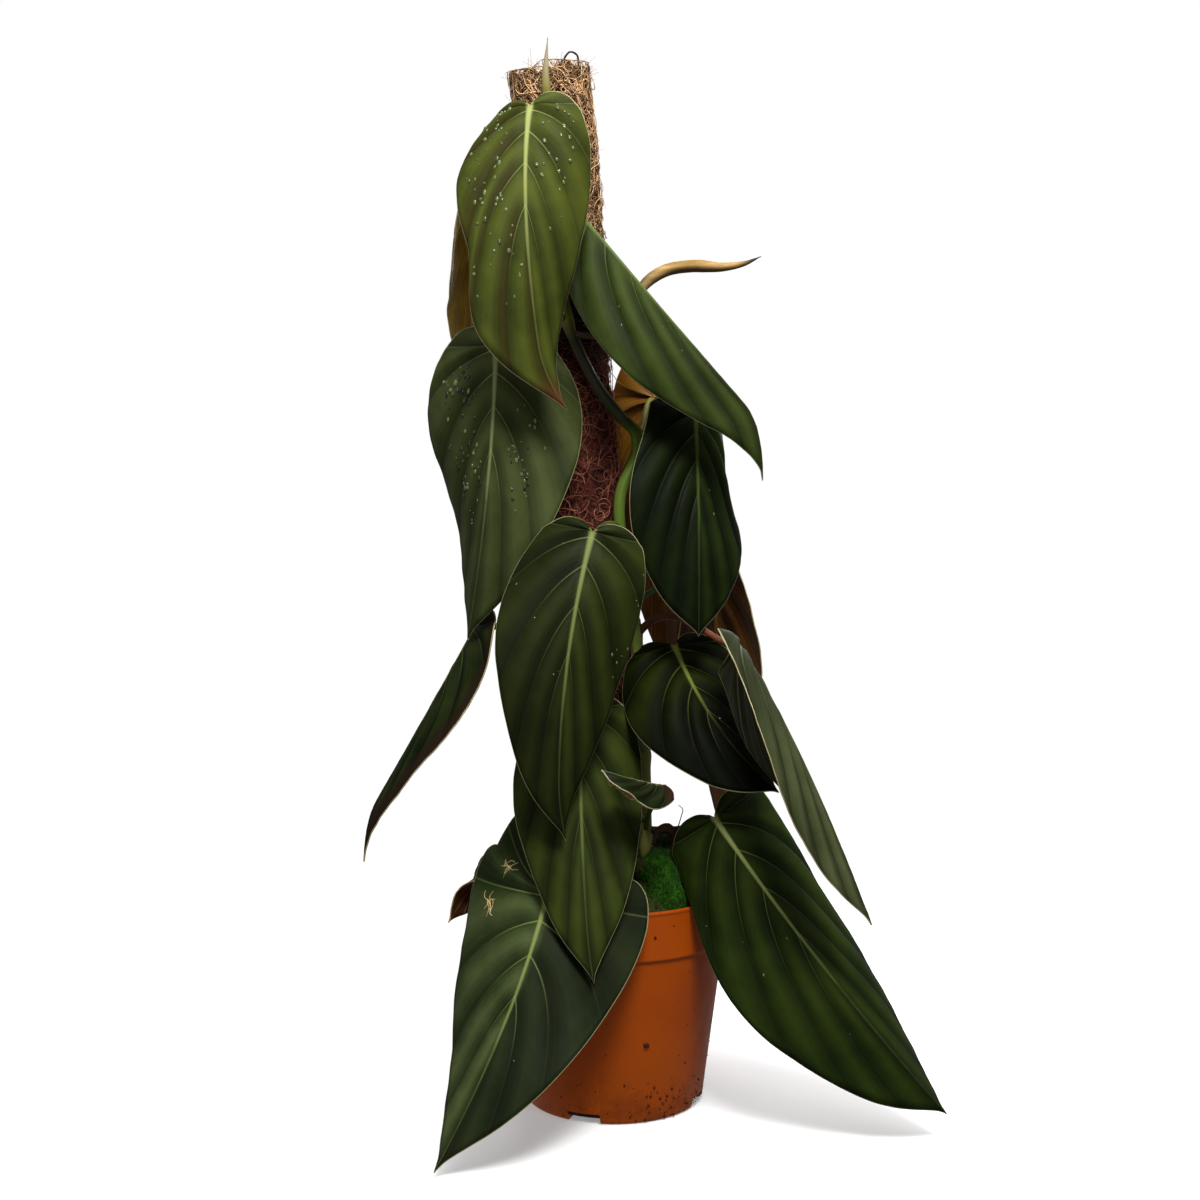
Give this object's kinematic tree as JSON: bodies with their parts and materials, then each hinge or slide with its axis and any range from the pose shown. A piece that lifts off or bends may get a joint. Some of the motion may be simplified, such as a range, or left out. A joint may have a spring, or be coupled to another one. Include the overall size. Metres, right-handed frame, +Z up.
{
  "type": "potted climbing philodendron",
  "caption": "Young climbing philodendron with velvety heart-shaped leaves on a leaning coir pole, growing in a round terracotta-coloured plastic pot with soil and moss.",
  "frame": {"origin": "centre of the pot's flat underside", "axes": "+Z up, from the pot's underside towards the top of the pole; -Y is the front of the plant, and +X is to the right seen from the front"},
  "size_m": [0.409, 0.248, 0.764],
  "materials": {
    "terracotta_plastic": "satin",
    "soil": "matte",
    "dark_moss": "matte",
    "bright_moss": "matte",
    "coir": "matte",
    "pole_plastic": "satin",
    "wire": "satin",
    "green_stem": "satin",
    "dry_sheath": "matte",
    "young_leaf": "satin",
    "leaf_olive": "velvety",
    "leaf_dark": "velvety",
    "leaf_bright": "velvety"
  },
  "bodies": {
    "root": {"pot": "terracotta_plastic", "potting_soil": "soil", "moss_bed": "dark_moss", "moss_cushion": "bright_moss", "coir_sleeve": "coir", "pole_core": "pole_plastic", "wire_tie": "wire", "stem": "green_stem", "growing_tip": "dry_sheath", "leaf_rolled": "young_leaf", "leaf_top_front": "leaf_bright", "leaf_left_wide": "leaf_olive", "leaf_right_upper": "leaf_olive", "leaf_left_back": "leaf_olive", "leaf_right_middle": "leaf_dark", "leaf_right_back": "leaf_olive", "leaf_centre": "leaf_olive", "leaf_right_outer": "leaf_olive", "leaf_right_inner": "leaf_dark", "leaf_back_right": "leaf_olive", "leaf_lower_centre": "leaf_olive", "leaf_front_left": "leaf_olive", "leaf_lower_right": "leaf_olive", "leaf_left_outer": "leaf_dark", "leaf_small_folded": "leaf_olive", "leaf_small_left": "leaf_bright"}
  },
  "joints": []
}
